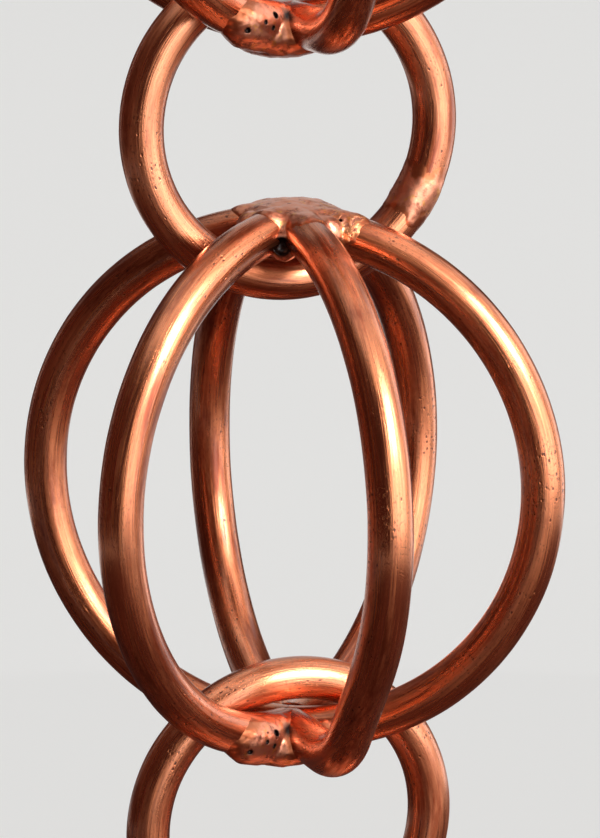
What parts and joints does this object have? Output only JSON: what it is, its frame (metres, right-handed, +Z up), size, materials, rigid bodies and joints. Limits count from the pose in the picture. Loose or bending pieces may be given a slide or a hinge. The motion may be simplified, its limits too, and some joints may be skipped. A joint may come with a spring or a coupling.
{
  "type": "rain chain",
  "caption": "Length of copper rain chain: ball-shaped cages of bent round bar, linked by plain rings, to lead roof water down from a gutter.",
  "frame": {"origin": "inside the top ring's bar, at its highest point, where a hanger's hook bears", "axes": "+Z up along the hanging chain, rings at rest in the XZ plane, front rib of each cage towards -Y"},
  "size_m": [0.0693, 0.0813, 0.3271],
  "materials": {
    "cage_copper": "drawn copper, polished, brown with weather",
    "ring_copper": "drawn copper, polished, brown with weather",
    "braze_metal": "rough brazed copper, pitted"
  },
  "bodies": {
    "upper_ring": {"upper_ring": "ring_copper", "upper_ring_seam": "braze_metal"},
    "upper_cage": {"upper_cage_hoop": "cage_copper", "upper_cage_left_rib": "cage_copper", "upper_cage_front_rib": "cage_copper", "upper_cage_right_rib": "cage_copper", "upper_cage_back_rib": "cage_copper", "upper_cage_top_braze": "braze_metal", "upper_cage_bottom_braze": "braze_metal"},
    "middle_ring": {"middle_ring": "ring_copper", "middle_ring_seam": "braze_metal"},
    "middle_cage": {"middle_cage_hoop": "cage_copper", "middle_cage_left_rib": "cage_copper", "middle_cage_front_rib": "cage_copper", "middle_cage_right_rib": "cage_copper", "middle_cage_back_rib": "cage_copper", "middle_cage_top_braze": "braze_metal", "middle_cage_bottom_braze": "braze_metal"},
    "lower_ring": {"lower_ring": "ring_copper", "lower_ring_seam": "braze_metal"},
    "lower_cage": {"lower_cage_hoop": "cage_copper", "lower_cage_left_rib": "cage_copper", "lower_cage_front_rib": "cage_copper", "lower_cage_right_rib": "cage_copper", "lower_cage_back_rib": "cage_copper", "lower_cage_top_braze": "braze_metal", "lower_cage_bottom_braze": "braze_metal"}
  },
  "joints": [
    {"name": "upper_cage_swing", "type": "hinge", "parent": "upper_ring", "child": "upper_cage", "pos_m": [0, 0, -0.01903], "axis": [0, 1, 0], "range_deg": [-70, 70]},
    {"name": "middle_ring_flap", "type": "hinge", "parent": "upper_cage", "child": "middle_ring", "pos_m": [0, 0, -0.10365], "axis": [1, 0, 0], "range_deg": [-14, 14]},
    {"name": "middle_cage_swing", "type": "hinge", "parent": "middle_ring", "child": "middle_cage", "pos_m": [0, 0, -0.12345], "axis": [0, 1, 0], "range_deg": [-70, 70]},
    {"name": "lower_ring_flap", "type": "hinge", "parent": "middle_cage", "child": "lower_ring", "pos_m": [0, 0, -0.20807], "axis": [1, 0, 0], "range_deg": [-14, 14]},
    {"name": "lower_cage_swing", "type": "hinge", "parent": "lower_ring", "child": "lower_cage", "pos_m": [0, 0, -0.22787], "axis": [0, 1, 0], "range_deg": [-70, 70]}
  ]
}
